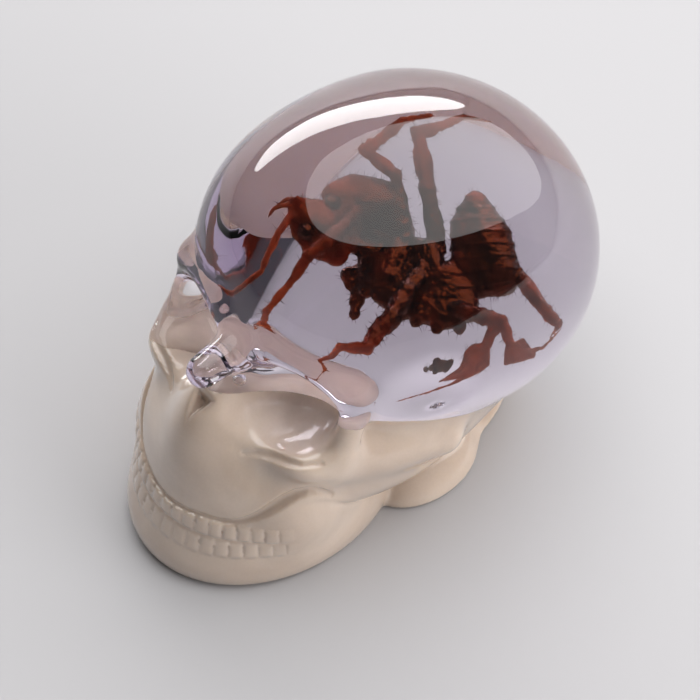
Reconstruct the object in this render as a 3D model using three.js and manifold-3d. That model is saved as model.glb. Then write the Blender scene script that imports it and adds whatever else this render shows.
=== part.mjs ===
// A small cast-resin skull standing on its flat base, with an insect sealed in the clear braincase.
// Millimetres, +Z up. The face looks along -Y and the back of the head is on +Y. The origin is under the
// middle of the skull, on the surface that it stands on.
import * as THREE from 'three';
import { ConvexGeometry } from 'three/addons/geometries/ConvexGeometry.js';
import { MarchingCubes } from 'three/addons/objects/MarchingCubes.js';
import { mergeVertices } from 'three/addons/utils/BufferGeometryUtils.js';
import Module from 'manifold-3d';

const wasm = await Module();
wasm.setup();

// ---- driving dimensions ---------------------------------------------
const HEAD_TILT = THREE.MathUtils.degToRad(22); // the head leans back by this much
const HEAD_RISE = 30;                           // middle of the braincase above the base
const HEAD_SHIFT = 7.1;                         // moves the skull so that its box is centred on the origin
const BRAINCASE = { at: [0, 5, 0.5], radii: [25.6, 26.6, 23.2] };
const FOREHEAD = { at: [0, -9.2, 1], radii: [21.8, 19.6, 19.6] };
const EYE_SOCKET = { at: [9.6, -28, -10.3], radii: [6.8, 10, 6.1] };
const UPPER_JAW = { at: [0, -19.5, 15], radii: [17, 20.8, 13] };
const LOWER_JAW = { at: [0, -24, 2.5], radii: [17.2, 21.2, 11] };
const CREAM_LEVEL = 9.6;                        // height of the cream resin's surface at the head's middle
const CREAM_FALL = 0.62;                        // how much it falls for each mm towards the back
const CREAM_RISE = 0.3;                         // how much it rises for each mm towards +X
const PART_LEVEL = 27.4;                        // height of the parting through the insect's pocket
const POCKET = { at: [2.5, 1.2, 27.4], radii: [20.4, 22.2, 7.6] };
const GAP = 0.3;                                // between pieces that touch
const CELL = 2.55;                              // size of the skull's facets
const SURFACE_CELLS = 36;                       // cells along each side of the box round the skull

// ---- the skull's form: smooth-blended ellipsoids and tapered bars ---------------
// Each returns a distance-like value: below zero inside, above zero outside.
function ellipsoid(p, [cx, cy, cz], [rx, ry, rz]) {
  const x = p.x - cx;
  const y = p.y - cy;
  const z = p.z - cz;
  const k0 = Math.hypot(x / rx, y / ry, z / rz);
  const k1 = Math.hypot(x / rx ** 2, y / ry ** 2, z / rz ** 2) + 1e-9;
  return (k0 * (k0 - 1)) / k1;
}

function bar(p, a, b, radiusA, radiusB) {
  const from = new THREE.Vector3(...a);
  const along = new THREE.Vector3(...b).sub(from);
  const rel = p.clone().sub(from);
  const t = THREE.MathUtils.clamp(rel.dot(along) / along.lengthSq(), 0, 1);
  return rel.addScaledVector(along, -t).length() - THREE.MathUtils.lerp(radiusA, radiusB, t);
}

function join(a, b, blend) {
  const h = THREE.MathUtils.clamp(0.5 + (0.5 * (b - a)) / blend, 0, 1);
  return b + (a - b) * h - blend * h * (1 - h);
}

// As join, with a rounder fillet.
function joinSoftly(a, b, blend) {
  const h = Math.max(blend - Math.abs(a - b), 0) / blend;
  return Math.min(a, b) - (h ** 3 * blend) / 6;
}

const cut = (a, b, blend) => -join(-a, b, blend);

function skullForm(point) {
  // w stands upright on the base, m leans back with the head; both are folded onto the +X side
  const w = new THREE.Vector3(Math.abs(point.x), point.y, point.z);
  const up = w.clone().setZ(w.z - HEAD_RISE);
  const m = up.applyAxisAngle(new THREE.Vector3(1, 0, 0), HEAD_TILT);

  let d = ellipsoid(m, BRAINCASE.at, BRAINCASE.radii);
  d = join(d, ellipsoid(m, FOREHEAD.at, FOREHEAD.radii), 8);
  d = join(d, ellipsoid(w, [0, 1, 11], [17.5, 24.5, 14]), 5);                     // filled neck
  d = join(d, bar(m, [4.5, -26.4, -2.6], [15, -22.6, -3.6], 2.6, 2.2), 2.5);      // brow
  d = join(d, bar(m, [15.8, -21, -5], [15.8, -20.5, -14], 2, 2.6), 3);            // outer rim of the socket
  d = join(d, ellipsoid(m, [11, -22.5, -17.2], [6.5, 5.5, 3.6]), 3);              // cheekbone
  d = join(d, bar(m, [15, -19, -17.5], [20, -3, -16], 3.2, 2.6), 3);              // cheek arch

  let upper = ellipsoid(w, UPPER_JAW.at, UPPER_JAW.radii);
  upper = join(upper, ellipsoid(w, [12.6, -9, 14.5], [7.6, 16, 11]), 4);          // side of the skull's foot
  upper = join(upper, ellipsoid(w, [0, -29, 20.4], [6.6, 10.8, 11.2]), 4);        // muzzle under the nose
  d = join(d, upper, 3.5);
  d = join(d, bar(m, [0, -25, -4.6], [0, -33.8, -8], 3.2, 2.3), 2.5);             // nose bone

  let lower = ellipsoid(w, LOWER_JAW.at, LOWER_JAW.radii);
  lower = join(lower, ellipsoid(w, [11.8, -28, 9.2], [4.6, 6.5, 8.6]), 2.5);      // corner of the jaw
  lower = join(lower, ellipsoid(w, [13.5, -6.5, 0], [6.8, 9.5, 5.5]), 0.8);       // side pad on the base
  lower = join(lower, ellipsoid(w, [0, 0, 0], [16.4, 19.5, 4.6]), 2);             // middle pad on the base
  lower = join(lower, ellipsoid(w, [0, -24.5, 9.5], [15.4, 16.4, 8]), 5);         // front of the teeth
  // the jaws run into each other at the front, and leave the mouth's crease at the sides
  const front = THREE.MathUtils.smoothstep(-w.y, 20, 34);
  d = joinSoftly(d, lower, 1 + 7 * front);

  d = cut(d, ellipsoid(m, EYE_SOCKET.at, EYE_SOCKET.radii), 2);
  // the nose opening is a wedge that narrows downwards
  const side = w.x * 0.87 - (w.z - 27.2) * 0.5;
  d = cut(d, Math.max(side, w.z - 32.4, w.y + 34.2), 0.6);
  d = cut(d, ellipsoid(m, [25.2, -17, -5.5], [4.5, 8, 8]), 4);                    // temple
  return d;
}

// ---- solids ---------------------------------------------
function solid(geometry) {
  const plain = geometry.clone();
  plain.deleteAttribute('normal');
  plain.deleteAttribute('uv');
  const merged = mergeVertices(plain, 1e-4);
  const mesh = new wasm.Mesh({
    numProp: 3,
    vertProperties: new Float32Array(merged.attributes.position.array),
    triVerts: new Uint32Array(merged.index.array),
  });
  return new wasm.Manifold(mesh);
}

function surfaceOf(manifold) {
  const mesh = manifold.getMesh();
  const geometry = new THREE.BufferGeometry();
  geometry.setAttribute('position', new THREE.BufferAttribute(new Float32Array(mesh.vertProperties), 3));
  geometry.setIndex(new THREE.BufferAttribute(new Uint32Array(mesh.triVerts), 1));
  geometry.translate(0, HEAD_SHIFT, 0);
  geometry.computeVertexNormals();
  return geometry;
}

// The form's surface as marching cubes find it, with every point then drawn onto the form itself.
function skullSurface() {
  const cubes = new MarchingCubes(SURFACE_CELLS, new THREE.MeshBasicMaterial(), false, false, 20000);
  const middle = new THREE.Vector3(0, -HEAD_SHIFT, 25);
  const point = new THREE.Vector3();
  const half = SURFACE_CELLS / 2;
  const place = (x, y, z) => point.set(x - half, y - half, z - half).multiplyScalar(CELL).add(middle);
  cubes.isolation = 0;
  for (let z = 0; z < SURFACE_CELLS; z += 1) {
    for (let y = 0; y < SURFACE_CELLS; y += 1) {
      for (let x = 0; x < SURFACE_CELLS; x += 1) {
        const depth = -skullForm(place(x, y, z)) / CELL;
        // a corner that all but touches the surface would give slivers
        cubes.field[x + (y + z * SURFACE_CELLS) * SURFACE_CELLS] = Math.abs(depth) < 0.08 ? 0.08 : depth;
      }
    }
  }
  cubes.update();
  const corners = cubes.geometry.attributes.position.array.slice(0, cubes.geometry.drawRange.count * 3);
  const surface = new THREE.BufferGeometry();
  surface.setAttribute('position', new THREE.BufferAttribute(corners, 3));
  surface.scale(half * CELL, half * CELL, half * CELL).translate(middle.x, middle.y, middle.z);
  // welded twice, half a rounding step apart, so that no two copies of a point stay either side of one
  const welded = mergeVertices(surface, 1e-3).translate(5e-4, 5e-4, 5e-4);
  const merged = mergeVertices(welded, 1e-3);
  const spot = new THREE.Vector3();
  const slope = new THREE.Vector3();
  const step = 0.05;
  for (let i = 0; i < merged.attributes.position.count; i += 1) {
    spot.fromBufferAttribute(merged.attributes.position, i);
    for (let turn = 0; turn < 3; turn += 1) {
      const at = (dx, dy, dz) => skullForm(point.copy(spot).add(new THREE.Vector3(dx, dy, dz)));
      slope.set(
        at(step, 0, 0) - at(-step, 0, 0),
        at(0, step, 0) - at(0, -step, 0),
        at(0, 0, step) - at(0, 0, -step),
      ).divideScalar(2 * step);
      spot.addScaledVector(slope, -THREE.MathUtils.clamp(at(0, 0, 0), -0.3, 0.3) / slope.lengthSq());
    }
    merged.attributes.position.setXYZ(i, spot.x, spot.y, spot.z);
  }
  return merged;
}

function boxSolid(width, depth, height, matrix) {
  return solid(new THREE.BoxGeometry(width, depth, height).applyMatrix4(matrix));
}

// Everything below a plane parallel to the cream resin's surface, at the given height over the origin.
function below(level) {
  const normal = new THREE.Vector3(-CREAM_RISE, CREAM_FALL, 1).normalize();
  const turn = new THREE.Quaternion().setFromUnitVectors(new THREE.Vector3(0, 0, 1), normal);
  const middle = new THREE.Vector3(0, 0, level).addScaledVector(normal, -60);
  return boxSolid(260, 260, 120, new THREE.Matrix4().compose(middle, turn, new THREE.Vector3(1, 1, 1)));
}

const ball = ({ at, radii }, detail) =>
  solid(new THREE.IcosahedronGeometry(1, detail).scale(...radii).translate(...at));

const slopeLength = Math.hypot(CREAM_RISE, CREAM_FALL, 1);
const floorCut = boxSolid(200, 200, 40, new THREE.Matrix4().makeTranslation(0, 0, -20));
const skull = solid(skullSurface()).subtract(floorCut);
const partAt = PART_LEVEL + CREAM_FALL * POCKET.at[1] - CREAM_RISE * POCKET.at[0];
const halfGap = (GAP / 2) * slopeLength;

const cream = skull.intersect(below(CREAM_LEVEL - halfGap));
const clear = skull.subtract(below(CREAM_LEVEL + halfGap)).subtract(ball(POCKET, 4));
const clearLower = clear.intersect(below(partAt - halfGap));
const clearUpper = clear.subtract(below(partAt + halfGap));

// ---- the insect ---------------------------------------------
// Every ball is [x, y, z, radius].

// A part of the body: the skin drawn tight round its balls.
function skin(...balls) {
  const dots = new THREE.IcosahedronGeometry(1, 0).attributes.position;
  const points = [];
  for (const [x, y, z, radius] of balls) {
    for (let i = 0; i < dots.count; i += 1) {
      const way = new THREE.Vector3().fromBufferAttribute(dots, i);
      points.push(new THREE.Vector3(x, y, z).addScaledVector(way, radius));
    }
  }
  return solid(new ConvexGeometry(points));
}

// A leg or antenna: one closed six-sided tube through its balls.
function limb(...balls) {
  const stretches = balls.length - 1;
  const points = balls.map(([x, y, z]) => new THREE.Vector3(x, y, z));
  const heading = (i) => points[Math.min(i + 1, stretches)].clone().sub(points[Math.max(i, 0)]).normalize();
  const headings = points.map((_, i) =>
    (i === 0 ? heading(0) : heading(i - 1).add(i < stretches ? heading(i) : heading(i - 1)).normalize()));
  const turns = [new THREE.Quaternion().setFromUnitVectors(new THREE.Vector3(0, 1, 0), headings[0])];
  for (let i = 1; i <= stretches; i += 1) {
    const bend = new THREE.Quaternion().setFromUnitVectors(headings[i - 1], headings[i]);
    turns.push(bend.multiply(turns[i - 1]));
  }
  const tube = new THREE.CylinderGeometry(1, 1, 1, 6, stretches);
  const place = tube.attributes.position;
  const point = new THREE.Vector3();
  for (let i = 0; i < place.count; i += 1) {
    const ring = Math.round((place.getY(i) + 0.5) * stretches);
    point.set(place.getX(i), 0, place.getZ(i)).multiplyScalar(balls[ring][3]);
    point.applyQuaternion(turns[ring]).add(points[ring]);
    place.setXYZ(i, point.x, point.y, point.z);
  }
  return solid(tube);
}

const insectParts = [
  // head, neck and the shield behind them
  skin([-9.7, -4.3, 30.2, 0.4], [-8.5, -5.3, 29.6, 0.5], [-6, -5.6, 28.3, 0.65], [-4.4, -3.8, 27.1, 0.8],
    [-5.2, -1.5, 27.3, 0.75], [-6.4, -1.7, 28.9, 0.65], [-8.2, -3.3, 30.2, 0.55], [-6.1, -4.3, 30.1, 0.85],
    [-6.8, -3, 27, 0.85]),
  skin([-5.2, -2.4, 27.4, 0.9], [-3.4, -1.2, 26.4, 1]),
  skin([-8, -1.2, 29.4, 1], [-7.2, 0.5, 29, 1.5], [-5, 1.8, 28, 2.1], [-2.9, 1.3, 27, 1.7]),
  // thorax
  skin([-3.5, -1.2, 26, 1.05], [-1.6, -3, 25, 0.9], [-1.9, 0.9, 27, 1.2], [-0.4, -1.6, 26.3, 1]),
  skin([-0.4, -2.7, 25.2, 0.95], [2, -2.3, 25, 1], [1, 2.2, 27.4, 1.2], [-0.6, 1.4, 26.8, 1.1],
    [2.6, 1.4, 27.1, 1]),
  skin([3, -1.7, 25.1, 0.95], [5.2, -0.1, 25, 1.1], [6.2, 2.3, 25, 1.15], [3.8, 4, 26, 1.3],
    [3.2, 2.2, 26.8, 1]),
  // abdomen
  skin([1.4, 8.8, 28.4, 1.8], [1.5, 6.2, 27.7, 1.6], [4.4, 9, 27.4, 1.8], [3.4, 4.5, 26.7, 1.7],
    [6.4, 7.5, 26, 2.2], [4.8, 4.6, 25.6, 1.7], [4, 7.4, 28.4, 1.6]),
  skin([3.4, 3.6, 26, 1], [4.6, 5.6, 25.6, 0.9]),
  // hips
  skin([-2, -1.6, 25.4, 0.85], [-2.9, -2.6, 25, 0.66]),
  skin([1.2, -1.8, 25, 0.85], [1.5, -3.2, 24.6, 0.64]),
  skin([3, -1.4, 25, 0.85], [3.6, -2.5, 24.5, 0.66]),
  skin([4.7, -0.4, 24.9, 0.85], [5.5, -1.4, 24.4, 0.64]),
  skin([5.4, 0.6, 25, 0.9], [6.6, 0.6, 24.6, 0.7]),
  // antenna and mouthparts
  limb([-9, -4.7, 30, 0.34], [-8.3, -7.4, 30.5, 0.38], [-7.6, -9.4, 29.9, 0.36],
    [-7.2, -10.4, 29.2, 0.32], [-7.9, -12.4, 28, 0.3], [-9.2, -15.2, 26.8, 0.2]),
  limb([-9.5, -4.3, 30, 0.5], [-10.5, -4.6, 29.3, 0.34], [-10.7, -5.4, 28.7, 0.2]),
  // front leg, which crosses the head
  limb([-3.8, -0.4, 27.4, 0.75], [-5.3, -1.1, 29.6, 0.68], [-4.7, -2.9, 30.6, 0.76], [-4.4, -5.6, 31, 0.76],
    [-4.7, -7.4, 30.6, 0.66], [-4.4, -9.8, 29.2, 0.44], [-4.5, -12.4, 28, 0.42], [-2, -16, 27, 0.34],
    [-1.3, -17, 26, 0.28], [2.2, -16.6, 25.4, 0.2]),
  // stump of the other front leg
  limb([-2.9, -2.4, 25.2, 0.76], [-3.7, -3.2, 24.9, 0.74], [-2.2, -3.4, 24.4, 0.72],
    [-1.3, -4.6, 23.8, 0.55]),
  // middle leg, towards the face
  limb([1.6, 0.6, 27.2, 0.85], [2.4, -2, 27.3, 0.96], [3.3, -4.7, 26.9, 0.98], [3.3, -6.5, 26.5, 0.85],
    [3.9, -7.9, 26.3, 0.64], [1.7, -9.2, 25.8, 0.42], [2.4, -14, 25.2, 0.36], [5.4, -15.8, 24.6, 0.26]),
  // middle leg, far side
  limb([-1.4, 1.2, 27.6, 0.85], [-5.5, 4, 29.8, 0.72], [-9, 3.6, 30, 0.66], [-8.8, 5.6, 29.8, 0.54],
    [-9.1, 9.2, 29, 0.48], [-8.3, 12.4, 28, 0.32]),
  // hind leg, far side
  limb([1.5, 2.6, 27.2, 1], [-2.6, 5.4, 30, 0.98], [-7, 9, 30.2, 0.9], [-6.6, 11.9, 29.2, 0.58],
    [-6.3, 15.6, 28.2, 0.42], [-5.2, 17.6, 26.9, 0.26]),
  // hind leg, near side
  limb([4.4, 4.6, 25.8, 0.9], [7, 8.7, 25.8, 1], [14.6, 9.5, 25.6, 0.92], [17.6, 10.2, 25.4, 0.62],
    [18.9, 8.6, 25.8, 0.28]),
  // middle leg, near side, with its flat shin
  limb([5, 0.4, 25.6, 0.8], [9.1, 2.3, 26.4, 0.84], [11.6, 3.7, 26.5, 0.8], [14.2, 3.4, 25.6, 0.72],
    [15.4, 3.8, 25.2, 0.5]),
  skin([15.9, 2, 25, 0.45], [19, 5.3, 24.8, 0.4], [15.1, 4.9, 25.2, 0.46], [14.4, 2.9, 25.4, 0.54]),
  limb([17.6, 5.2, 25, 0.4], [19.2, 6.8, 25, 0.32], [19.3, 9.4, 25.6, 0.24]),
  // front leg, near side, with its flat shin
  limb([11.2, 3.6, 26.3, 0.72], [10.9, 2.1, 25.7, 0.72], [11.6, 0.8, 24.9, 0.66], [12.8, 0.4, 24.4, 0.48],
    [12.3, -2.2, 23.6, 0.4], [10.2, -5.8, 22.9, 0.3], [7.4, -9, 22.7, 0.22]),
  skin([9.9, -3, 24.4, 0.26], [10.2, -0.2, 25, 0.5], [12.6, 0.5, 24.6, 0.46], [11.2, 1.2, 25, 0.54]),
];
const insect = insectParts.reduce((whole, piece) => whole.add(piece));

// ---- the group ---------------------------------------------
const group = new THREE.Group();

function addPiece(name, manifold, look) {
  const mesh = new THREE.Mesh(surfaceOf(manifold), new THREE.MeshStandardMaterial(look));
  mesh.name = name;
  group.add(mesh);
}

addPiece('clear_resin_upper', clearUpper, {
  color: '#cfc8d0', roughness: 0.03, metalness: 0, transparent: true, opacity: 0.35,
});
addPiece('clear_resin_lower', clearLower, {
  color: '#c9c2ca', roughness: 0.03, metalness: 0, transparent: true, opacity: 0.35,
});
addPiece('cream_resin', cream, { color: '#c3b19e', roughness: 0.25, metalness: 0 });
addPiece('insect', insect, { color: '#3a120a', roughness: 0.4, metalness: 0 });

export default group;
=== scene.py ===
"""A small cast-resin skull on a flat base, with a dark insect sealed in its clear braincase."""
import functools
import math
import random

import bpy
import numpy as np
from bpy.props import FloatProperty, FloatVectorProperty, IntProperty, PointerProperty
from mathutils import Matrix, Quaternion, Vector


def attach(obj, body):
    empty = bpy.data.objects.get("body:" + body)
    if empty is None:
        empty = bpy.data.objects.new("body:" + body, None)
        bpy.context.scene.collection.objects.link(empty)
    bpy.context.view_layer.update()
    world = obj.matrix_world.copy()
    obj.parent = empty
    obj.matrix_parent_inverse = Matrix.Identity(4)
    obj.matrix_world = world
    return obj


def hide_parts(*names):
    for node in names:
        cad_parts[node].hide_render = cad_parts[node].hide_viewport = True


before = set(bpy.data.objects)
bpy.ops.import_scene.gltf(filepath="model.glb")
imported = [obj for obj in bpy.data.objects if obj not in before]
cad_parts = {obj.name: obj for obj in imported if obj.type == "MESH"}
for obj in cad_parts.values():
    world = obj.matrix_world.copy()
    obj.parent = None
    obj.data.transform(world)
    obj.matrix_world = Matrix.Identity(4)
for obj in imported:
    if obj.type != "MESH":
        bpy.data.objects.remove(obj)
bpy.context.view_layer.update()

bl_info = {
    "name": "Resin skull with a sealed insect",
    "version": (1, 0, 0),
    "blender": (4, 5, 0),
    "location": "3D View > Sidebar > Resin Skull",
    "description": "Models a cast-resin skull with an insect in it, and its stage",
    "category": "Object",
}

MM = 0.001                      # the skull is shaped in millimetres
FLOOR_GAP = 0.0001              # keeps the floor's face apart from the skull's
HEAD_TILT = math.radians(22)    # the head leans back by this much
HEAD_RISE = 30.0                # middle of the braincase above the base
HEAD_SHIFT = 7.1                # moves the skull so that its box is centred on the origin
SKULL_LOW = (-28.0, -48.0, -2.0)    # corners of the space that holds the skull's surface
SKULL_HIGH = (28.0, 33.0, 56.0)
EDGE_ANGLE = math.radians(48)   # an edge sharper than this stays sharp
CLEAR_SINK = 0.06               # the clear resin reaches this far into the cream, so that no air shows


# ---- settings --------------------------------------------------------------------------------------------
class ResinSkullSettings(bpy.types.PropertyGroup):
    """Sizes and colours of the resin"""

    cell: FloatProperty(
        name="Facet size", description="Spacing of the skull's surface points, in millimetres",
        default=0.42, min=0.3, max=3.0)
    cream_level: FloatProperty(
        name="Cream level", description="Height of the cream resin's surface at the head's middle, in mm",
        default=9.6, min=0.0, max=30.0)
    cream_fall: FloatProperty(
        name="Cream fall", description="Fall of the cream resin's surface for each mm towards the back",
        default=0.62, min=0.0, max=2.0)
    cream_rise: FloatProperty(
        name="Cream rise", description="Rise of the cream resin's surface for each mm towards +X",
        default=0.3, min=-1.0, max=1.0)
    cream: FloatVectorProperty(
        name="Cream", description="Colour of the cream resin", subtype="COLOR", size=3,
        default=(0.68, 0.55, 0.45), min=0.0, max=1.0)
    cream_shade: FloatVectorProperty(
        name="Cream shade", description="Deeper tone that drifts through the cream resin", subtype="COLOR",
        size=3, default=(0.54, 0.42, 0.335), min=0.0, max=1.0)
    tooth_width: FloatProperty(
        name="Tooth width", description="Width of a tooth along the jaw, in millimetres",
        default=2.0, min=1.0, max=6.0)


class SealedInsectSettings(bpy.types.PropertyGroup):
    """Sizes and colours of the insect"""

    voxel: FloatProperty(
        name="Voxel", description="Size of the voxels that fuse the insect, in millimetres",
        default=0.125, min=0.05, max=1.0)
    hairs: IntProperty(
        name="Hairs", description="How many hairs stand on the insect", default=2600, min=0, max=8000)
    shell: FloatVectorProperty(
        name="Shell", description="Colour of the insect's shell", subtype="COLOR", size=3,
        default=(0.008, 0.003, 0.002), min=0.0, max=1.0)


class SkullStageSettings(bpy.types.PropertyGroup):
    """The floor, the lights and the camera"""

    floor_size: FloatProperty(
        name="Floor", description="Side of the floor", default=4.0, min=0.5, unit="LENGTH")
    floor_colour: FloatVectorProperty(
        name="Floor colour", description="Colour of the pale floor", subtype="COLOR", size=3,
        default=(0.50, 0.49, 0.50), min=0.0, max=1.0)
    azimuth: FloatProperty(
        name="Azimuth", description="Where the camera stands, from -Y towards +X",
        default=math.radians(45.6), subtype="ANGLE")
    elevation: FloatProperty(
        name="Elevation", description="Height of the camera above the horizon",
        default=math.radians(52.5), subtype="ANGLE")
    distance: FloatProperty(
        name="Distance", description="From the camera to the head", default=0.48, unit="LENGTH")


# ---- material helpers ------------------------------------------------------------------------------------
class Wire:
    """A value in a material: arithmetic on it adds the Math nodes that work it out."""

    def __init__(self, sheet, socket):
        self.sheet = sheet
        self.socket = socket

    def _maths(self, operation, *values):
        return self.sheet.add("ShaderNodeMath", {"operation": operation}, dict(enumerate(values)))

    def __add__(self, other):
        return self._maths("ADD", self, other)

    def __radd__(self, other):
        return self._maths("ADD", other, self)

    def __sub__(self, other):
        return self._maths("SUBTRACT", self, other)

    def __rsub__(self, other):
        return self._maths("SUBTRACT", other, self)

    def __mul__(self, other):
        return self._maths("MULTIPLY", self, other)

    def __rmul__(self, other):
        return self._maths("MULTIPLY", other, self)


class Sheet:
    """A material's node sheet, to which nodes are added one by one."""

    def __init__(self, name):
        self.material = bpy.data.materials.new(name)
        self.material.use_nodes = True
        self.tree = self.material.node_tree
        self.tree.nodes.clear()

    def add(self, kind, settings=None, inputs=None, output=0):
        """Adds a node of that kind, sets it, fills or links its sockets and gives back one output."""
        node = self.tree.nodes.new(kind)
        for key, value in (settings or {}).items():
            if key == "stops":
                ramp = node.color_ramp
                while len(ramp.elements) < len(value):
                    ramp.elements.new(0.5)
                for element, (place, colour) in zip(ramp.elements, value):
                    element.position = place
                    element.color = colour
            else:
                setattr(node, key, value)
        for key, value in (inputs or {}).items():
            if isinstance(value, Wire):
                self.tree.links.new(value.socket, node.inputs[key])
            else:
                node.inputs[key].default_value = value
        return Wire(self, node.outputs[output])

    def finish(self, surface, volume=None):
        """Links the shaders to the output and gives back the material."""
        inputs = {"Surface": surface}
        if volume:
            inputs["Volume"] = volume
        node = self.tree.nodes.new("ShaderNodeOutputMaterial")
        for key, value in inputs.items():
            self.tree.links.new(value.socket, node.inputs[key])
        return self.material


def opaque(colour):
    return (*colour, 1.0)


def clear_resin_material():
    sheet = Sheet("clear_resin")
    place = sheet.add("ShaderNodeTexCoord", None, None, "Object")
    swirl = sheet.add("ShaderNodeTexNoise", None, {
        "Vector": place, "Scale": 75.0, "Detail": 1.0, "Distortion": 1.5})
    tint = sheet.add("ShaderNodeValToRGB", {"stops": [
        (0.35, (0.97, 0.95, 0.98, 1.0)), (0.65, (1.0, 1.0, 1.0, 1.0))]}, {"Fac": swirl})
    ripple = sheet.add("ShaderNodeBump", None, {
        "Strength": 0.10, "Distance": 0.0004, "Height": swirl}, "Normal")
    surface = sheet.add("ShaderNodeBsdfPrincipled", None, {
        "Base Color": tint, "Roughness": 0.0, "IOR": 1.5, "Transmission Weight": 1.0, "Normal": ripple})
    volume = sheet.add("ShaderNodeVolumeAbsorption", None, {
        "Color": (0.90, 0.87, 0.92, 1.0), "Density": 48.0})
    return sheet.finish(surface, volume)


def cream_resin_material(settings):
    sheet = Sheet("cream_resin")
    place = sheet.add("ShaderNodeTexCoord", None, None, "Object")
    drift = sheet.add("ShaderNodeTexNoise", None, {
        "Vector": place, "Scale": 70.0, "Detail": 3.0, "Roughness": 0.5, "Distortion": 1.2})
    specks = sheet.add("ShaderNodeTexNoise", None, {"Vector": place, "Scale": 2600.0, "Detail": 2.0})
    colour = sheet.add("ShaderNodeValToRGB", {"stops": [
        (0.30, opaque(settings.cream_shade)), (0.70, opaque(settings.cream))]},
        {"Fac": drift * 0.85 + specks * 0.15})
    # where the clear resin lies on the cream, no air is between them and so no gloss either
    point, up = cream_surface(settings, CLEAR_SINK / 2)
    height = sheet.add("ShaderNodeVectorMath", {"operation": "DOT_PRODUCT"}, {0: place, 1: up}, "Value")
    sealed = sheet.add("ShaderNodeMath", {"operation": "GREATER_THAN"}, {0: height, 1: point.dot(up)})
    surface = sheet.add("ShaderNodeBsdfPrincipled", None, {
        "Base Color": colour, "Roughness": 0.26 + specks * 0.08 + sealed * 0.66, "IOR": 1.5,
        "Subsurface Weight": 0.3, "Subsurface Radius": (1.0, 0.75, 0.5), "Subsurface Scale": 0.0025,
        "Coat Weight": 1.0 - sealed, "Coat Roughness": 0.03})
    return sheet.finish(surface)


def insect_material(settings):
    sheet = Sheet("insect")
    place = sheet.add("ShaderNodeTexCoord", None, None, "Object")
    thin = sheet.add("ShaderNodeAttribute", {"attribute_name": "thinness"}, None, "Fac")
    mottle_and_painted_glints = sheet.add("ShaderNodeTexNoise", None, {"Vector": place, "Scale": 420.0, "Detail": 4.0})
    grain = sheet.add("ShaderNodeTexNoise", None, {"Vector": place, "Scale": 2400.0, "Detail": 3.0})
    bump = sheet.add("ShaderNodeBump", None, {
        "Strength": 0.9, "Distance": 0.00014, "Height": grain * 0.6 + mottle_and_painted_glints * 0.8}, "Normal")
    # the shell's own tone runs from dark to amber and is mottled at random; the ramp's bright red upper stops
    # are raised so that the mottled patches also serve as painted red glints
    colour = sheet.add("ShaderNodeValToRGB", {"stops": [
        (0.38, opaque(settings.shell)), (0.64, (0.12, 0.009, 0.002, 1.0)),
        (0.92, (0.60, 0.065, 0.008, 1.0))]}, {"Fac": mottle_and_painted_glints * 0.75 + thin * 0.5})
    shell = sheet.add("ShaderNodeBsdfPrincipled", None, {
        "Base Color": colour, "Roughness": 0.12 + grain * 0.2, "IOR": 1.6, "Normal": bump,
        "Specular Tint": (1.0, 0.22, 0.06, 1.0), "Specular IOR Level": 0.7})
    amber = sheet.add("ShaderNodeBsdfPrincipled", None, {
        "Base Color": (1.0, 0.55, 0.28, 1.0), "Roughness": 0.2, "IOR": 1.06, "Normal": bump,
        "Transmission Weight": 1.0})
    surface = sheet.add("ShaderNodeMixShader", None, {"Fac": 0.22 + thin * 0.53, 1: shell, 2: amber})
    volume = sheet.add("ShaderNodeVolumeAbsorption", None, {
        "Color": (0.70, 0.22, 0.02, 1.0), "Density": 4200.0})
    return sheet.finish(surface, volume)


def floor_material(settings):
    sheet = Sheet("pale_floor")
    surface = sheet.add("ShaderNodeBsdfPrincipled", None, {
        "Base Color": opaque(settings.floor_colour), "Roughness": 0.7})
    return sheet.finish(surface)


# ---- the skull's form: smooth-blended eggs and tapered bars, in millimetres ------------------------------
# Each gives a distance-like value for every point: below zero inside, above zero outside.
def egg(p, at, radii):
    """An ellipsoid with that middle and those radii."""
    q = p - np.asarray(at, p.dtype)
    radii = np.asarray(radii, p.dtype)
    k0 = np.sqrt(((q / radii) ** 2).sum(-1))
    k1 = np.sqrt(((q / (radii * radii)) ** 2).sum(-1)) + 1e-9
    return k0 * (k0 - 1) / k1


def bar(p, a, b, radius_a, radius_b):
    """A round bar from a to b that tapers from one radius to the other."""
    a = np.asarray(a, p.dtype)
    along = np.asarray(b, p.dtype) - a
    t = np.clip(((p - a) @ along) / (along @ along), 0, 1)
    return np.sqrt(((p - a - t[..., None] * along) ** 2).sum(-1)) - (radius_a + (radius_b - radius_a) * t)


def join(a, b, blend):
    """Two forms as one, with a fillet of about that size."""
    h = np.clip(0.5 + 0.5 * (b - a) / blend, 0, 1)
    return b + (a - b) * h - blend * h * (1 - h)


def join_softly(a, b, blend):
    """As join, with a rounder fillet."""
    h = np.maximum(blend - np.abs(a - b), 0) / blend
    return np.minimum(a, b) - h ** 3 * blend / 6


def cut(a, b, blend):
    """The first form less the second, with a rounded edge."""
    return -join(-a, b, blend)


def leaned(w):
    """The same points in the axes of the head, which leans back."""
    c, s = math.cos(HEAD_TILT), math.sin(HEAD_TILT)
    y, z = w[..., 1], w[..., 2] - HEAD_RISE
    return np.stack([w[..., 0], y * c - z * s, y * s + z * c], -1)


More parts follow.
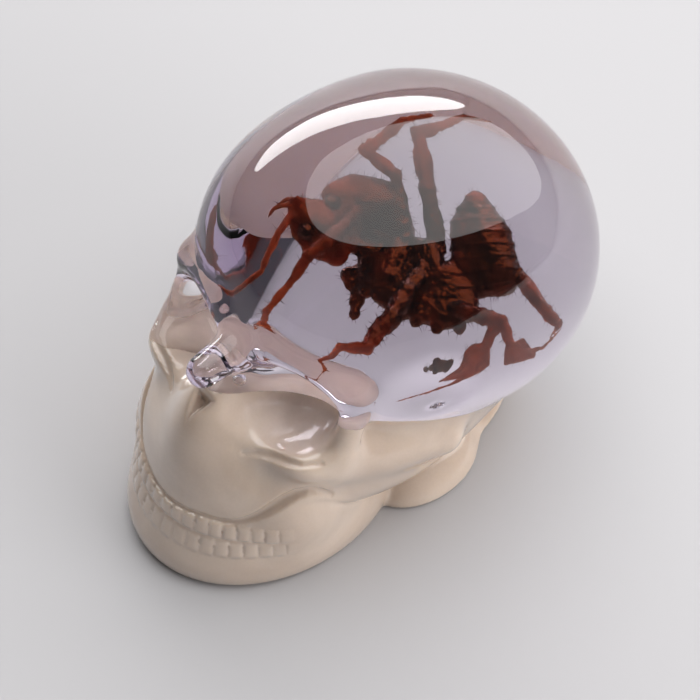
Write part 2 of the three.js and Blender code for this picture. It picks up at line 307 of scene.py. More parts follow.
# Grooves on the +X side, each a path of x, z and radius over the form's front.
GROOVES = (
    # between the jaws, and up over the jaw's corner
    ((0, 12.3, 0.28), (1.6, 12.45, 0.28), (3.2, 12.65, 0.28), (4.8, 12.85, 0.28), (6.4, 12.9, 0.28),
     (7.8, 12.9, 0.3), (9.2, 13.1, 0.34), (10.4, 13.7, 0.42), (11.5, 14.6, 0.55), (12.4, 15.6, 0.68),
     (13.1, 16.6, 0.8), (13.8, 17.6, 0.85), (14.6, 18.4, 0.8), (15.4, 18.6, 0.7), (16, 18, 0.55),
     (16.4, 17, 0.4), (16.7, 15.6, 0.2)),
    # under the cheekbone
    ((7.3, 23.4, 0.15), (8.7, 23.9, 0.45), (10.2, 24.4, 0.62), (12, 24.8, 0.62), (13.6, 25, 0.5),
     (15, 25, 0.35), (16.5, 24.9, 0.15)),
)
GROOVE_BLEND = 0.5              # softness of the grooves' edges
FRONT_STEP = 0.01               # how finely the form's front is found

# Each row of teeth: height of its middle, half its height, its shift in teeth, and how far it stands out.
TEETH_ROWS = ((11.3, 1.5, 0.5, 0.30), (8.1, 1.5, 0.0, 0.2))
JAW_MIDDLE = -24.0              # y of the point that the rows curve round
JAW_RADIUS = 18.0
ROW_END = math.radians(58)      # how far round the jaw a row reaches


def on_the_front(x, z):
    """The y of the form's front at that x and z, without teeth and grooves."""
    y = np.arange(SKULL_LOW[1], 0.0, FRONT_STEP)
    line = np.stack([np.full_like(y, x), y, np.full_like(y, z)], -1)
    return float(y[np.argmax(skull_form(line, grooved=False) < 0)])


@functools.cache
def groove_paths():
    """The grooves' points on the form's front, each x, y, z and radius."""
    return [[(x, on_the_front(x, z), z, radius) for x, z, radius in path] for path in GROOVES]


NOSE_LOW, NOSE_HIGH = 27.2, 32.4    # heights between which the nose is open
NOSE_BACK = -34.2               # y of the opening's back


def nose_opening(w):
    """A wedge under the nose bone that narrows downwards."""
    side = w[..., 0] * 0.87 - (w[..., 2] - NOSE_LOW) * 0.5
    return np.maximum(np.maximum(side, w[..., 2] - NOSE_HIGH), w[..., 1] - NOSE_BACK)


def skull_form(p, tooth_width=0.0, grooved=True):
    """The skull, the same on its left and right: w is in the base's axes and m in the leaning head's."""
    w = p.copy()
    w[..., 0] = np.abs(w[..., 0])
    m = leaned(w)
    d = egg(m, (0, 5, 0.5), (25.6, 26.6, 23.2))                            # braincase
    d = join(d, egg(m, (0, -9.2, 1), (21.8, 19.6, 19.6)), 8)               # forehead
    d = join(d, egg(w, (0, 1, 11), (17.5, 24.5, 14)), 5)                   # filled neck
    d = join(d, bar(m, (4.5, -26.4, -2.6), (15, -22.6, -3.6), 2.6, 2.2), 2.5)    # brow
    d = join(d, bar(m, (15.8, -21, -5), (15.8, -20.5, -14), 2, 2.6), 3)    # outer rim of the socket
    d = join(d, egg(m, (11, -22.5, -17.2), (6.5, 5.5, 3.6)), 3)            # cheekbone
    d = join(d, bar(m, (15, -19, -17.5), (20, -3, -16), 3.2, 2.6), 3)      # cheek arch
    upper = egg(w, (0, -19.5, 15), (17, 20.8, 13))                         # upper jaw
    upper = join(upper, egg(w, (12.6, -9, 14.5), (7.6, 16, 11)), 4)        # side of the skull's foot
    upper = join(upper, egg(w, (0, -29, 20.4), (6.6, 10.8, 11.2)), 4)      # muzzle under the nose
    d = join(d, upper, 3.5)
    d = join(d, bar(m, (0, -25, -4.6), (0, -33.8, -8), 3.2, 2.3), 2.5)     # nose bone
    lower = egg(w, (0, -24, 2.5), (17.2, 21.2, 11))                        # lower jaw
    lower = join(lower, egg(w, (11.8, -28, 9.2), (4.6, 6.5, 8.6)), 2.5)    # corner of the jaw
    lower = join(lower, egg(w, (13.5, -6.5, 0), (6.8, 9.5, 5.5)), 0.8)     # side pad on the base
    lower = join(lower, egg(w, (0, 0, 0), (16.4, 19.5, 4.6)), 2)           # middle pad on the base
    lower = join(lower, egg(w, (0, -24.5, 9.5), (15.4, 16.4, 8)), 5)       # front of the teeth
    # the jaw meets the head in a crease, which softens towards the front
    front = np.clip((-20 - w[..., 1]) / 14, 0, 1)
    front = front * front * (3 - 2 * front)
    crease = np.exp(-((d - lower) / 0.35) ** 2) * 0.30 * (1 - front)
    d = join_softly(d, lower, 1 + 7 * front) + crease
    if tooth_width:
        d = d - teeth(w, tooth_width)
    d = cut(d, egg(m, (9.6, -28, -10.3), (6.8, 10, 6.1)), 2)               # eye socket
    d = cut(d, nose_opening(w), 0.6)
    for path in groove_paths() if grooved else ():
        bars = [bar(w, a, b, radius_a, radius_b) for (*a, radius_a), (*b, radius_b) in zip(path, path[1:])]
        d = cut(d, np.minimum.reduce(bars), GROOVE_BLEND)
    d = cut(d, egg(m, (25.2, -17, -5.5), (4.5, 8, 8)), 4)                  # temple
    return cut(d, w[..., 2], 0.8)                                          # flat base


def teeth(w, width):
    """Two low rows of teeth on the front of the jaw, as a height above it."""
    round_jaw = np.arctan2(w[..., 0], -(w[..., 1] - JAW_MIDDLE))
    along = round_jaw * JAW_RADIUS / width
    arch = np.clip(1.3 - (np.abs(round_jaw) / ROW_END) ** 4, 0, 1)
    height = np.zeros(along.shape)
    for middle, half, offset, relief in TEETH_ROWS:
        across = np.abs(((along + offset) % 1.0) - 0.5) * 2
        level = (w[..., 2] - middle) / half
        crown = np.clip(1 - across ** 3, 0, 1) ** 0.7 * np.clip(1 - level ** 4, 0, 1)
        height = np.maximum(height, relief * crown)
    return height * arch


def slope_of(form, points, step=0.02):
    """How fast the form's value grows along x, y and z at each point."""
    rises = [form(points + step * way) - form(points - step * way) for way in np.eye(3)]
    return np.stack(rises, -1) / (2 * step)


def draw_onto(form, points, turns=3, reach=0.25):
    """Moves points along the form's slope until they lie on its surface."""
    for _ in range(turns):
        slope = slope_of(form, points)
        depth = np.clip(form(points), -reach, reach)
        points = points - slope * (depth / np.maximum((slope ** 2).sum(-1), 0.05))[:, None]
    return points


def surface_of(form, low, high, cell):
    """Points and quads on the surface where the form passes through zero, one point in each cell."""
    lines = [np.arange(a, b + cell, cell) for a, b in zip(low, high)]
    field = np.empty([len(line) for line in lines], np.float32)
    across = np.stack(np.meshgrid(lines[1], lines[2], indexing="ij"), -1).astype(np.float32)
    for i, x in enumerate(lines[0]):
        slab = np.concatenate([np.full((*across.shape[:2], 1), x, np.float32), across], -1)
        field[i] = form(slab)
    inside = field < 0
    shape = np.array(field.shape) - 1
    corner = [(i, j, k) for i in (0, 1) for j in (0, 1) for k in (0, 1)]

    def part(array, offset):
        return array[tuple(slice(o, o + n) for o, n in zip(offset, shape))]

    count = sum(part(inside, c).astype(np.int8) for c in corner)
    cells = np.argwhere((count > 0) & (count < 8))
    number = np.full(shape, -1, np.int64)
    number[tuple(cells.T)] = np.arange(len(cells))
    total = np.zeros((len(cells), 3))
    crossings = np.zeros(len(cells))
    for axis in range(3):
        for c in corner:
            if c[axis]:
                continue
            a_at = cells + c
            b_at = a_at.copy()
            b_at[:, axis] += 1
            a, b = field[tuple(a_at.T)], field[tuple(b_at.T)]
            crosses = (a < 0) != (b < 0)
            t = np.where(crosses, a / np.where(crosses, a - b, 1), 0)
            spot = a_at.astype(float)
            spot[:, axis] += t
            total += spot * crosses[:, None]
            crossings += crosses
    points = total / crossings[:, None] * cell + np.array([line[0] for line in lines])
    quads = []
    for axis in range(3):
        one, two = (axis + 1) % 3, (axis + 2) % 3
        here = np.argwhere(np.take(inside, range(shape[axis]), axis)
                           != np.take(inside, range(1, shape[axis] + 1), axis))
        here = here[(here[:, one] > 0) & (here[:, two] > 0)]
        here = here[(here[:, one] < shape[one]) & (here[:, two] < shape[two])]
        ring = []
        for step_one, step_two in ((1, 1), (0, 1), (0, 0), (1, 0)):
            at = here.copy()
            at[:, one] -= step_one
            at[:, two] -= step_two
            ring.append(number[tuple(at.T)])
        ring = np.stack(ring, -1)
        starts_inside = inside[tuple(here.T)]
        quads.append(np.where(starts_inside[:, None], ring, ring[:, ::-1]))
    return points, np.concatenate(quads)


# ---- mesh helpers ----------------------------------------------------------------------------------------
def placed(points):
    """The skull's millimetres as metres in the frame that all pieces share."""
    return (np.asarray(points) + (0, HEAD_SHIFT, 0)) * MM


def scaled_down():
    """As placed, for a whole mesh."""
    return Matrix.Scale(MM, 4) @ Matrix.Translation((0, HEAD_SHIFT, 0))


def new_piece(name, points, faces):
    mesh = bpy.data.meshes.new(name)
    mesh.from_pydata(points.tolist(), [], faces.tolist())
    mesh.validate()
    piece = bpy.data.objects.new(name, mesh)
    bpy.context.scene.collection.objects.link(piece)
    only(piece)
    return piece


def only(piece):
    """Selects that piece and nothing else."""
    bpy.ops.object.select_all(action="DESELECT")
    piece.select_set(True)
    bpy.context.view_layer.objects.active = piece


def dress(piece, material, slot, *nodes):
    """Gives a finished piece its material and its place in the frame."""
    if not piece.data.polygons:
        raise RuntimeError(f"{piece.name} has no faces")
    piece.data.materials.clear()
    piece.data.materials.append(material)
    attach(piece, "root")
    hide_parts(*nodes)


def cream_surface(settings, drop=0.0):
    """A point on the cream resin's surface and the way up from it."""
    up = Vector((-settings.cream_rise, settings.cream_fall, 1.0)).normalized()
    point = Vector((0.0, HEAD_SHIFT, settings.cream_level)) * MM - up * (drop * MM)
    return point, up


def slice_piece(piece, point, up, keep_above):
    """Keeps what lies on one side of a plane and closes the cut."""
    only(piece)
    bpy.ops.object.mode_set(mode="EDIT")
    bpy.ops.mesh.select_all(action="SELECT")
    bpy.ops.mesh.bisect(plane_co=point, plane_no=up, use_fill=True, clear_inner=keep_above,
                        clear_outer=not keep_above, threshold=1e-7)
    bpy.ops.object.mode_set(mode="OBJECT")
    bpy.ops.object.shade_smooth_by_angle(angle=EDGE_ANGLE)


OFF_FORM = 0.3                  # a point this far off the form is on the cut face or the bubble
CUT_CORNERS = 8                 # only the cut face has more corners than this


def polish(piece, settings):
    """Shades a piece by the form's own slope, apart from its cut face and any bubble."""
    mesh = piece.data
    points = points_of(mesh) / MM - (0, HEAD_SHIFT, 0)
    form = skull_with_teeth(settings)
    slope = slope_of(form, points)
    slope /= np.maximum(np.linalg.norm(slope, axis=1), 1e-6)[:, None]
    off_form = np.abs(form(points)) > OFF_FORM
    slope[off_form] = np.array([vertex.normal for vertex in mesh.vertices])[off_form]
    corners = np.empty(len(mesh.loops), np.int64)
    mesh.loops.foreach_get("vertex_index", corners)
    normals = slope[corners]
    for face in mesh.polygons:
        if len(face.vertices) > CUT_CORNERS:
            normals[face.loop_start:face.loop_start + face.loop_total] = face.normal
    mesh.normals_split_custom_set(normals.tolist())


BUBBLE = (1.0, -29.2, 29.8, 0.95)       # x, y, z and radius of the air bubble beside the nose


def add_bubble(piece, at, radius):
    """Leaves a round air bubble in a piece."""
    bpy.ops.object.select_all(action="DESELECT")
    bpy.ops.mesh.primitive_uv_sphere_add(segments=48, ring_count=24, radius=radius, location=at)
    bubble = bpy.context.object
    bpy.ops.object.transform_apply(location=True, rotation=True, scale=True)
    bpy.ops.object.mode_set(mode="EDIT")
    bpy.ops.mesh.select_all(action="SELECT")
    bpy.ops.mesh.flip_normals()
    bpy.ops.object.mode_set(mode="OBJECT")
    bpy.ops.object.shade_smooth()
    only(piece)
    bubble.select_set(True)
    bpy.ops.object.join()


def skull_with_teeth(settings):
    return functools.partial(skull_form, tooth_width=settings.tooth_width)


_skull = {}                     # the fine surface, kept for the second resin


def skull_surface(settings):
    """The whole skull's fine surface, worked out once for both resins."""
    if not _skull:
        form = skull_with_teeth(settings)
        points, quads = surface_of(form, SKULL_LOW, SKULL_HIGH, settings.cell)
        _skull["points"] = draw_onto(form, points)
        _skull["quads"] = quads
    return _skull["points"], _skull["quads"]


# ---- operators -------------------------------------------------------------------------------------------
class RESINSKULL_OT_clear_resin(bpy.types.Operator):
    """Models the clear resin: the braincase, the brow and the nose bridge"""
    bl_idname = "resinskull.clear_resin"
    bl_label = "Clear resin"

    def execute(self, context):
        settings = context.scene.resin_skull
        points, quads = skull_surface(settings)
        clear = new_piece("clear_resin", placed(points), quads)
        slice_piece(clear, *cream_surface(settings, CLEAR_SINK), True)
        add_bubble(clear, placed(BUBBLE[:3]), BUBBLE[3] * MM)
        polish(clear, settings)
        dress(clear, clear_resin_material(), "clear_resin", "clear_resin_upper", "clear_resin_lower")
        return {"FINISHED"}


class RESINSKULL_OT_cream_resin(bpy.types.Operator):
    """Models the cream resin: the lower face, the jaw with its teeth and the foot"""
    bl_idname = "resinskull.cream_resin"
    bl_label = "Cream resin"

    def execute(self, context):
        settings = context.scene.resin_skull
        points, quads = skull_surface(settings)
        cream = new_piece("cream_resin_skin", placed(points), quads)
        slice_piece(cream, *cream_surface(settings), False)
        polish(cream, settings)
        dress(cream, cream_resin_material(settings), "cream_resin", "cream_resin")
        return {"FINISHED"}


# The insect's places are in the skull's millimetres. Each ball is x, y, z and its radius. A part of the body
# is the skin drawn tight round its balls, and a limb is a chain of swelling stretches from ball to ball.
HEAD = ((-9.7, -4.3, 30.2, 0.35), (-8.5, -5.3, 29.6, 0.45), (-6.0, -5.6, 28.3, 0.6), (-4.4, -3.8, 27.1, 0.75),
        (-5.2, -1.5, 27.3, 0.7), (-6.4, -1.7, 28.9, 0.6), (-8.2, -3.3, 30.2, 0.5), (-6.1, -4.3, 30.1, 0.8),
        (-6.8, -3.0, 27.0, 0.8))
NECK = ((-5.2, -2.4, 27.4, 0.8), (-3.4, -1.2, 26.4, 0.9))
FRONT_SHIELD = ((-8.0, -1.2, 29.4, 0.9), (-7.2, 0.5, 29.0, 1.4), (-5.0, 1.8, 28.0, 2.0),
                (-2.9, 1.3, 27.0, 1.6))
THORAX = (
    ((-3.5, -1.2, 26.0, 0.95), (-1.6, -3.0, 25.0, 0.8), (-1.9, 0.9, 27.0, 1.1), (-0.4, -1.6, 26.3, 0.9)),
    ((-0.4, -2.7, 25.2, 0.85), (2.0, -2.3, 25.0, 0.9), (1.0, 2.2, 27.4, 1.1), (-0.6, 1.4, 26.8, 1.0),
     (2.6, 1.4, 27.1, 0.9)),
    ((3.0, -1.7, 25.1, 0.85), (5.2, -0.1, 25.0, 1.0), (6.2, 2.3, 25.0, 1.05), (3.8, 4.0, 26.0, 1.2),
     (3.2, 2.2, 26.8, 0.9)),
)
HIPS = (
    ((-2.0, -1.6, 25.4, 0.8), (-2.9, -2.6, 25.0, 0.62)), ((1.2, -1.8, 25.0, 0.8), (1.6, -2.7, 24.8, 0.6)),
    ((3.0, -1.4, 25.0, 0.8), (3.4, -2.0, 24.7, 0.62)), ((4.7, -0.4, 24.9, 0.8), (5.1, -1.0, 24.6, 0.6)),
    ((5.4, 0.6, 25.0, 0.85), (6.6, 0.6, 24.6, 0.66)), ((3.4, 3.6, 26.0, 0.9), (4.6, 5.6, 25.6, 0.8)),
)
ABDOMEN = ((1.4, 8.8, 28.4, 1.7), (1.5, 6.2, 27.7, 1.5), (4.4, 9.0, 27.4, 1.7), (3.4, 4.5, 26.7, 1.6),
           (6.4, 7.5, 26.0, 2.1), (4.8, 4.6, 25.6, 1.6), (4.0, 7.4, 28.4, 1.5))
EYES = ((-6.9, -5.3, 29.8, 0.66), (-7.3, -2.0, 29.9, 0.66))
# Flat triangular shins of the near middle and front legs.
PADDLES = (
    ((15.9, 2.0, 25.0, 0.4), (19.0, 5.3, 24.8, 0.34), (15.1, 4.9, 25.2, 0.42), (14.4, 2.9, 25.4, 0.5)),
    ((9.9, -3.0, 24.4, 0.2), (10.2, -0.2, 25.0, 0.46), (12.6, 0.5, 24.6, 0.42), (11.2, 1.2, 25.0, 0.5)),
)
ANTENNA = ((-9.0, -4.7, 30.0, 0.30), (-8.3, -7.4, 30.5, 0.33), (-7.6, -9.4, 29.9, 0.31),
           (-7.2, -10.4, 29.2, 0.26), (-7.9, -12.4, 28.0, 0.24), (-9.2, -15.2, 26.8, 0.16))
# The last number says how many small beads the foot has.
LEGS = (
    # front leg, which crosses the head
    (((-3.8, -0.4, 27.4, 0.7), (-5.3, -1.1, 29.6, 0.6), (-4.7, -2.9, 30.6, 0.68), (-4.4, -5.6, 31.0, 0.7),
      (-4.7, -7.4, 30.6, 0.6), (-4.4, -9.8, 29.2, 0.38), (-4.5, -12.4, 28.0, 0.36), (-3.6, -13.9, 27.3, 0.28),
      (-2.2, -15.6, 26.8, 0.18)), 0),
    # stump of the other front leg
    (((-2.9, -2.4, 25.2, 0.7), (-3.7, -3.2, 24.9, 0.66), (-2.2, -3.4, 24.4, 0.66),
      (-1.3, -4.6, 23.8, 0.5)), 0),
    # middle leg, towards the face
    (((1.4, -0.4, 26.4, 0.85), (1.6, 0.6, 27.2, 0.8), (2.4, -2.0, 27.3, 0.9), (3.3, -4.7, 26.9, 0.92),
      (3.3, -6.5, 26.5, 0.8), (3.9, -7.9, 26.3, 0.6), (1.7, -9.2, 25.8, 0.36), (2.4, -13.4, 25.2, 0.28),
      (4.2, -14.8, 24.7, 0.16)), 5),
    # middle leg, far side
    (((-1.4, 1.2, 27.6, 0.8), (-5.5, 4.0, 29.8, 0.66), (-9.0, 3.6, 30.0, 0.6), (-8.8, 5.6, 29.8, 0.46),
      (-9.1, 9.2, 29.0, 0.42), (-8.3, 12.4, 28.0, 0.24)), 5),
    # hind leg, far side
    (((1.5, 2.6, 27.2, 0.95), (-2.6, 5.4, 30.0, 0.92), (-7.0, 9.0, 30.2, 0.84), (-6.6, 11.9, 29.2, 0.5),
      (-6.3, 15.6, 28.2, 0.36), (-5.2, 17.6, 26.9, 0.18)), 5),
    # hind leg, near side
    (((4.4, 4.6, 25.8, 0.85), (7.0, 8.7, 25.8, 0.95), (14.6, 9.5, 25.6, 0.86), (17.6, 10.2, 25.4, 0.56),
      (18.9, 8.6, 25.8, 0.2)), 3),
    # middle leg, near side
    (((5.0, 0.4, 25.6, 0.75), (9.1, 2.3, 26.4, 0.78), (11.6, 3.7, 26.5, 0.74), (14.2, 3.4, 25.6, 0.66),
      (15.4, 3.8, 25.2, 0.44)), 0),
    (((17.6, 5.2, 25.0, 0.34), (19.2, 6.8, 25.0, 0.26), (19.3, 9.4, 25.6, 0.16)), 3),
    # front leg, near side
    (((11.2, 3.6, 26.3, 0.66), (10.9, 2.1, 25.7, 0.66), (11.6, 0.8, 24.9, 0.6), (12.8, 0.4, 24.4, 0.42),
      (12.3, -2.2, 23.6, 0.34), (10.2, -5.8, 22.9, 0.24), (7.4, -9.0, 22.7, 0.15)), 5),
)
# Ridges on the head and the mouthparts at its front: thin stretches that stand a little proud.
RIDGES = (
    ((-9.6, -4.8, 30.2, 0.2), (-7.6, -6.0, 29.0, 0.2), (-5.0, -5.0, 27.6, 0.22)),
    ((-9.6, -4.1, 30.6, 0.2), (-7.6, -3.6, 30.6, 0.2), (-5.6, -3.2, 30.0, 0.2), (-4.4, -2.6, 28.2, 0.24)),
    ((-9.8, -4.6, 29.9, 0.26), (-10.6, -5.2, 29.3, 0.18), (-10.5, -6.0, 28.8, 0.08)),
    ((-9.5, -3.8, 29.9, 0.26), (-10.5, -4.0, 29.2, 0.18), (-10.8, -4.9, 28.7, 0.08)),
)
SLIM = 0.86                     # a limb's bars and lobes are this much thinner than its joints
SWELL = 0.06                    # how much a lobe stands out from its bar
LOBE_REACH = (-0.04, 0.9)       # from where to where along its bar a lobe reaches
BEAD_REACH = 0.56               # half a bead's length, for a spacing of 1
CLAW = 0.7                      # length and spread of a claw, and its thickness for a foot of 1
SEAMS = 5                       # between the abdomen's plates
PLATE_RISE, PLATE_SINK = 0.16, 0.05     # a plate's far edge rises over the next, whose near edge is sunk
# Relief of the shell: name, size and strength.
RELIEF = (("folds", 0.9, 0.26), ("pits", 0.28, 0.11))
HAIR_LENGTHS = (0.25, 0.85)     # shortest and longest
HAIR_RADIUS = 0.034
HAIR_ROOT = 0.05                # how deep a hair stands in the shell
HAIR_LEAN = 0.7                 # how far it may lean, for an upright of 1
HAIR_SEED = 11
# Where the shell's tone changes, each the middle and radii of an egg.
DARK_THORAX = ((0.8, 0.6, 26.2), (6.2, 5.2, 4.4))
AMBER_HEAD = ((-7.2, -4.0, 28.6), (3.8, 3.8, 3.2))
BELLY = ((4.0, 7.0, 26.6), (5.0, 5.0, 4.0))


def turned_to(way):
    return way.to_track_quat("Z", "Y").to_euler()


def add_lobe(a, b, width, height):
    """A round lobe stretched from a to b."""
    a, b = Vector(a), Vector(b)
    bpy.ops.mesh.primitive_uv_sphere_add(
        segments=32, ring_count=16, radius=1.0, location=(a + b) / 2, rotation=turned_to(b - a),
        scale=(width, height, (b - a).length / 2))
    return bpy.context.object


def add_ball(at, radius):
    bpy.ops.mesh.primitive_uv_sphere_add(segments=20, ring_count=12, radius=radius, location=at)
    return bpy.context.object


def add_stretch(a, b, radius_a, radius_b):
    """A tapered bar from a to b."""
    bpy.ops.mesh.primitive_cone_add(vertices=20, radius1=radius_a, radius2=radius_b, depth=(b - a).length,
                                    location=(a + b) / 2, rotation=turned_to(b - a))
    return bpy.context.object


def fused(pieces):
    """Joins pieces into one object with its place in its mesh."""
    only(pieces[0])
    for piece in pieces:
        piece.select_set(True)
    bpy.ops.object.join()
    bpy.ops.object.transform_apply(location=True, rotation=True, scale=True)
    return pieces[0]


def add_skin(balls):
    """The skin drawn tight round a few balls."""
    skin = fused([add_ball(at, radius) for (*at, radius) in balls])
    bpy.ops.object.mode_set(mode="EDIT")
    bpy.ops.mesh.select_all(action="SELECT")
    bpy.ops.mesh.convex_hull()
    bpy.ops.object.mode_set(mode="OBJECT")
    return skin


def add_limb(joints, beads):
    """A chain of swelling stretches with a knuckle between each, and a beaded foot at its end."""
    pieces = []
    last = len(joints) - 2
    for i, ((*a, radius_a), (*b, radius_b)) in enumerate(zip(joints, joints[1:])):
        a, b = Vector(a), Vector(b)
        if i == last and beads:
            for step in range(beads):
                share = (step + 0.5) / beads
                half = (b - a) / beads * BEAD_REACH
                radius = radius_a + (radius_b - radius_a) * share
                pieces.append(add_lobe(a.lerp(b, share) - half, a.lerp(b, share) + half, radius, radius))
            pieces += add_claws(b, (b - a).normalized(), radius_b)
            continue
        pieces.append(add_stretch(a, b, radius_a * SLIM, radius_b * SLIM))
        swell = (radius_a + radius_b) / 2 + SWELL
        start, end = (a.lerp(b, share) for share in LOBE_REACH)
        pieces.append(add_lobe(start, end, swell, swell * SLIM))
        pieces.append(add_ball(b, radius_b))
    return pieces


def add_ridge(joints):
    """A chain of thin bars."""
    return [add_stretch(Vector(a), Vector(b), radius_a, radius_b)
            for (*a, radius_a), (*b, radius_b) in zip(joints, joints[1:])]


def add_claws(at, way, radius):
    """Two short hooks at the end of a foot."""
    side = way.orthogonal().normalized()
    return [add_stretch(at, at + (way + side * spread).normalized() * CLAW, radius * CLAW, 0.03)
            for spread in (-CLAW, CLAW)]


def add_hairs(piece, count):
    """Thin three-sided spikes that stand on the piece's surface, leaning a little."""
    chance = random.Random(HAIR_SEED)
    mesh = piece.data
    areas = np.cumsum([face.area for face in mesh.polygons])
    points, faces = [], []
    for _ in range(count):
        face = mesh.polygons[int(np.searchsorted(areas, chance.random() * areas[-1]))]
        root = Vector(face.center)
        lean = Vector([chance.uniform(-1, 1) for _ in range(3)]) * HAIR_LEAN
        way = (Vector(face.normal) + lean).normalized()
        length = chance.uniform(*HAIR_LENGTHS)
        side = way.orthogonal().normalized() * HAIR_RADIUS
        other = way.cross(side)
        start = len(points)
        root -= way * HAIR_ROOT
        points += [root + side, root - side * 0.5 + other * 0.87, root - side * 0.5 - other * 0.87,
                   root + way * length]
        faces += [(start, start + 1, start + 3), (start + 1, start + 2, start + 3),
                  (start + 2, start, start + 3), (start + 2, start + 1, start)]
    hairs = bpy.data.meshes.new("insect_hairs")
    hairs.from_pydata([tuple(p) for p in points], [], faces)
    piece_of_hair = bpy.data.objects.new("insect_hairs", hairs)
    bpy.context.scene.collection.objects.link(piece_of_hair)
    return piece_of_hair


def apply_modifier(piece, kind, **settings):
    modifier = piece.modifiers.new(kind.lower(), kind)
    for key, value in settings.items():
        setattr(modifier, key, value)
    bpy.ops.object.modifier_apply(modifier=modifier.name)


def points_of(mesh):
    points = np.empty(len(mesh.vertices) * 3)
    mesh.vertices.foreach_get("co", points)
    return points.reshape(-1, 3)


def press_plates(piece):
    """Presses the seams between the abdomen's plates into its surface."""
    mesh = piece.data
    points = points_of(mesh)
    normals = np.array([vertex.normal for vertex in mesh.vertices])
    tip, root = np.array(ABDOMEN[0][:3]), (np.array(ABDOMEN[4][:3]) + np.array(ABDOMEN[5][:3])) / 2
    along = (points - tip) @ (root - tip) / ((root - tip) @ (root - tip))
    middle = tip + along[:, None] * (root - tip)
    off_axis = np.linalg.norm(points - middle, axis=1)
    on_plates = (along > -0.30) & (along < 1.25) & (off_axis > 1.2) & (off_axis < 4.2)
    step = (along * SEAMS) % 1.0
    depth = np.where(on_plates, PLATE_RISE * step ** 3 - PLATE_SINK, 0.0)
    mesh.vertices.foreach_set("co", (points + normals * depth[:, None]).ravel())
    mesh.update()


def mark_thinness(piece, body_points):
    """Stores how amber the shell is on each point, from 0 in the eyes and the thorax to 0.8 in the feet."""
    mesh = piece.data
    points = points_of(mesh)
    thorax, head, belly = (egg(points, *place) for place in (DARK_THORAX, AMBER_HEAD, BELLY))
    # the legs turn amber away from the thorax, and so does the belly towards its underside
    thin = np.clip(thorax / 6.0, 0, 0.8)
    thin = np.where(belly < 0.2, 0.12 + 0.5 * np.clip((26.2 - points[:, 2]) / 2.5, 0, 1), thin)
    thin = np.where(head < 0.2, 0.72, thin)
    for *at, radius in EYES:
        thin = np.where(np.linalg.norm(points - at, axis=1) < radius * 1.25, 0.0, thin)
    thin = np.where(np.arange(len(points)) < body_points, thin, 0.25)
    layer = mesh.attributes.new("thinness", "FLOAT", "POINT")
    layer.data.foreach_set("value", thin.astype(np.float32))


class RESINSKULL_OT_insect(bpy.types.Operator):
    """Models the insect: its body, legs, antenna and hairs"""
    bl_idname = "resinskull.insect"
    bl_label = "Insect"

    def execute(self, context):
        settings = context.scene.sealed_insect
        bpy.ops.object.select_all(action="DESELECT")
        pieces = [add_skin(balls) for balls in (HEAD, NECK, FRONT_SHIELD, *THORAX, *HIPS, ABDOMEN, *PADDLES)]
        pieces += [add_ball(at, radius) for (*at, radius) in EYES]
        pieces += add_limb(ANTENNA, 0)
        for joints, beads in LEGS:
            pieces += add_limb(joints, beads)
        for joints in RIDGES:
            pieces += add_ridge(joints)
        body = fused(pieces)
        body.data.remesh_voxel_size = settings.voxel
        bpy.ops.object.voxel_remesh()
        apply_modifier(body, "SMOOTH", iterations=3, factor=0.5)
        press_plates(body)
        for name, size, strength in RELIEF:
            grain = bpy.data.textures.new(name, "CLOUDS")
            grain.noise_scale = size
            apply_modifier(body, "DISPLACE", texture=grain, strength=strength, mid_level=0.5)
        hairs = add_hairs(body, settings.hairs)
        body_points = len(body.data.vertices)
        only(body)
        hairs.select_set(True)
        bpy.ops.object.join()
        mark_thinness(body, body_points)
        body.name = "insect_body"
        body.data.transform(scaled_down())
        bpy.ops.object.shade_smooth()
        dress(body, insect_material(settings), "insect", "insect")
        return {"FINISHED"}


# Each soft light: name, direction from the head, turn in degrees, distance, width, height and power.
SOFT_LIGHTS = (
    ("soft_light_top", (-0.08, 0.50, 0.86), -22, 0.60, 0.95, 1.60, 9.0),
    ("soft_light_back", (-0.80, 0.48, 0.20), 0, 0.90, 1.10, 0.26, 6.0),
    ("soft_light_side", (0.90, 0.30, 0.26), 0, 0.80, 0.80, 0.60, 5.0),
)
FILL_LIGHT = "soft_light_side"
LIT_HEIGHT = 28.0               # the lights are aimed at this height, in millimetres
SENSOR = 36.0                   # width of the camera's sensor, in millimetres
VIEW_WIDTH = 0.09678            # how much the camera sees across at the head, in metres
VIEW_LEFT, VIEW_BELOW = 5.25, 13.27     # from the head's middle to the view's middle, in millimetres


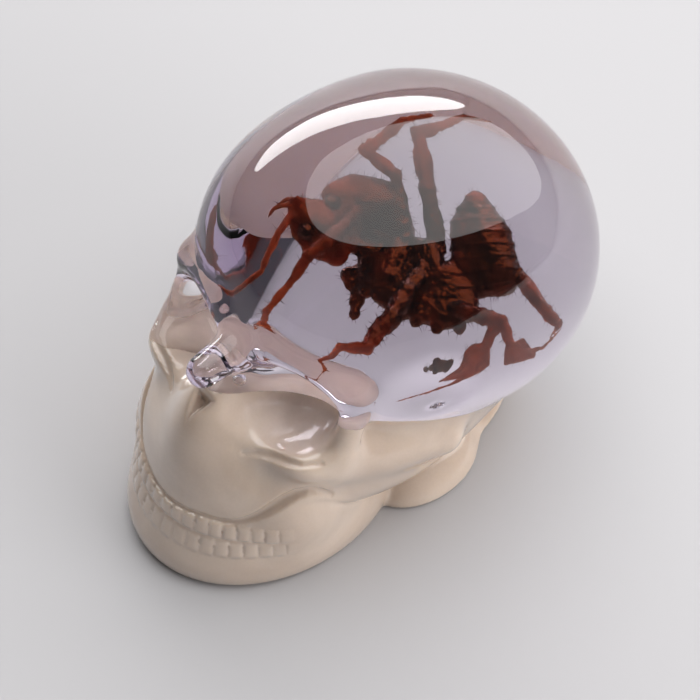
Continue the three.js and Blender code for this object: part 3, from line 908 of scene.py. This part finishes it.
class RESINSKULL_OT_stage(bpy.types.Operator):
    """Sets up the pale floor, the soft lights and the camera"""
    bl_idname = "resinskull.stage"
    bl_label = "Stage"

    def execute(self, context):
        settings = context.scene.skull_stage
        bpy.ops.object.select_all(action="DESELECT")
        bpy.ops.mesh.primitive_plane_add(size=settings.floor_size, location=(0, 0, -FLOOR_GAP))
        floor = context.object
        floor.name = "floor"
        floor.data.materials.append(floor_material(settings))
        self.add_world(context)
        self.add_lights()
        self.add_camera(context, settings)
        return {"FINISHED"}

    def add_world(self, context):
        world = bpy.data.worlds.new("studio")
        context.scene.world = world
        world.use_nodes = True
        background = world.node_tree.nodes["Background"]
        background.inputs["Color"].default_value = (0.80, 0.80, 0.84, 1.0)
        background.inputs["Strength"].default_value = 0.10

    def add_lights(self):
        head = Vector((0.0, HEAD_SHIFT, LIT_HEIGHT)) * MM
        for name, way, turn, distance, width, height, power in SOFT_LIGHTS:
            way = Vector(way).normalized()
            aim = way.to_track_quat("Z", "Y") @ Quaternion((0, 0, 1), math.radians(turn))
            bpy.ops.object.light_add(type="AREA", location=head + way * distance, rotation=aim.to_euler())
            light = bpy.context.object
            light.name = name
            light.data.shape = "ELLIPSE"
            light.data.size = width
            light.data.size_y = height
            light.data.energy = power
            # a light that only fills isn't seen in the resin
            light.visible_glossy = light.visible_transmission = name != FILL_LIGHT

    def add_camera(self, context, settings):
        a, e = settings.azimuth, settings.elevation
        back = Vector((math.sin(a) * math.cos(e), -math.cos(a) * math.cos(e), math.sin(e)))
        right = Vector((math.cos(a), math.sin(a), 0.0))
        up = back.cross(right)
        head = Vector((0.0, HEAD_SHIFT, HEAD_RISE)) * MM
        eye = head + back * settings.distance
        aim = head - right * (VIEW_LEFT * MM) - up * (VIEW_BELOW * MM)
        bpy.ops.object.camera_add(location=eye, rotation=(eye - aim).to_track_quat("Z", "Y").to_euler())
        camera = context.object
        camera.data.sensor_width = SENSOR
        camera.data.lens = SENSOR * settings.distance / VIEW_WIDTH
        camera.data.clip_start = 0.01
        context.scene.camera = camera
        context.scene.view_settings.view_transform = "Standard"


class RESINSKULL_PT_panel(bpy.types.Panel):
    """Lists the pieces of the skull"""
    bl_label = "Resin Skull"
    bl_idname = "RESINSKULL_PT_panel"
    bl_space_type = "VIEW_3D"
    bl_region_type = "UI"
    bl_category = "Resin Skull"

    def draw(self, context):
        for settings in (context.scene.resin_skull, context.scene.sealed_insect, context.scene.skull_stage):
            box = self.layout.box()
            for key in settings.__annotations__:
                box.prop(settings, key)
        for operator in OPERATORS:
            self.layout.operator(operator.bl_idname)


SETTINGS = (("resin_skull", ResinSkullSettings), ("sealed_insect", SealedInsectSettings),
            ("skull_stage", SkullStageSettings))
OPERATORS = (RESINSKULL_OT_clear_resin, RESINSKULL_OT_cream_resin, RESINSKULL_OT_insect,
             RESINSKULL_OT_stage)


def register():
    for name, group in SETTINGS:
        bpy.utils.register_class(group)
        setattr(bpy.types.Scene, name, PointerProperty(type=group))
    for operator in OPERATORS:
        bpy.utils.register_class(operator)
    bpy.utils.register_class(RESINSKULL_PT_panel)


def unregister():
    bpy.utils.unregister_class(RESINSKULL_PT_panel)
    for operator in reversed(OPERATORS):
        bpy.utils.unregister_class(operator)
    for name, group in reversed(SETTINGS):
        delattr(bpy.types.Scene, name)
        bpy.utils.unregister_class(group)


def main():
    register()
    bpy.ops.resinskull.clear_resin()
    bpy.ops.resinskull.cream_resin()
    bpy.ops.resinskull.insect()
    bpy.ops.resinskull.stage()


if __name__ == "__main__":
    main()
